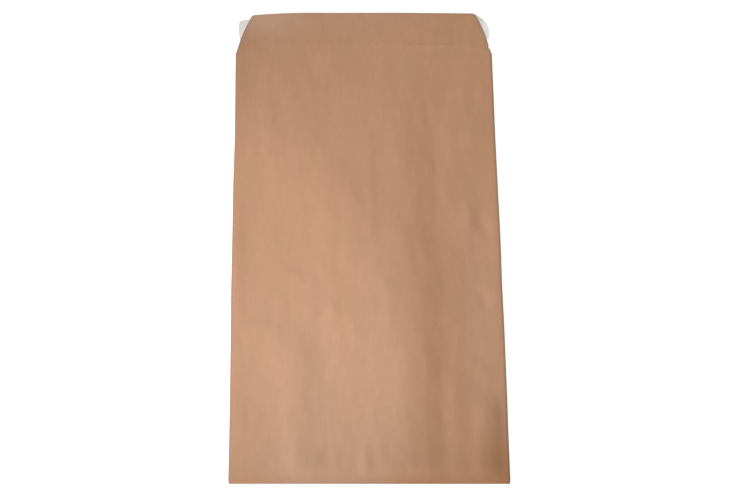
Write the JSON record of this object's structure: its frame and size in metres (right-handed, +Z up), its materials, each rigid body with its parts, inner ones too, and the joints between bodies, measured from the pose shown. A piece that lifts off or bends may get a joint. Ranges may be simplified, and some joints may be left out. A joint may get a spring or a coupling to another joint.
{
  "type": "paper mailing bag",
  "caption": "Flat kraft paper mailing bag with side gussets, a back lap seam, a turned-up glued bottom and a tapered peel and seal flap lying open.",
  "frame": {"origin": "on the table under the middle of the bag's outline, flap included", "axes": "+X across the bag, +Y from the folded bottom to the flap, +Z up, away from the back panel that the bag lies on"},
  "size_m": [0.25, 0.442, 0.0093],
  "materials": {
    "kraft_paper": "matte brown kraft, faint machine sheen",
    "paste_glue": "dried paste glue, satin",
    "seal_adhesive": "clear hot-melt pressure adhesive, glossy",
    "release_paper": "white siliconised release paper, satin"
  },
  "bodies": {
    "root": {"kraft_bag": "kraft_paper", "seam_glue": "paste_glue", "bottom_glue": "paste_glue", "seal_adhesive": "seal_adhesive", "release_liner": "release_paper"}
  },
  "joints": []
}
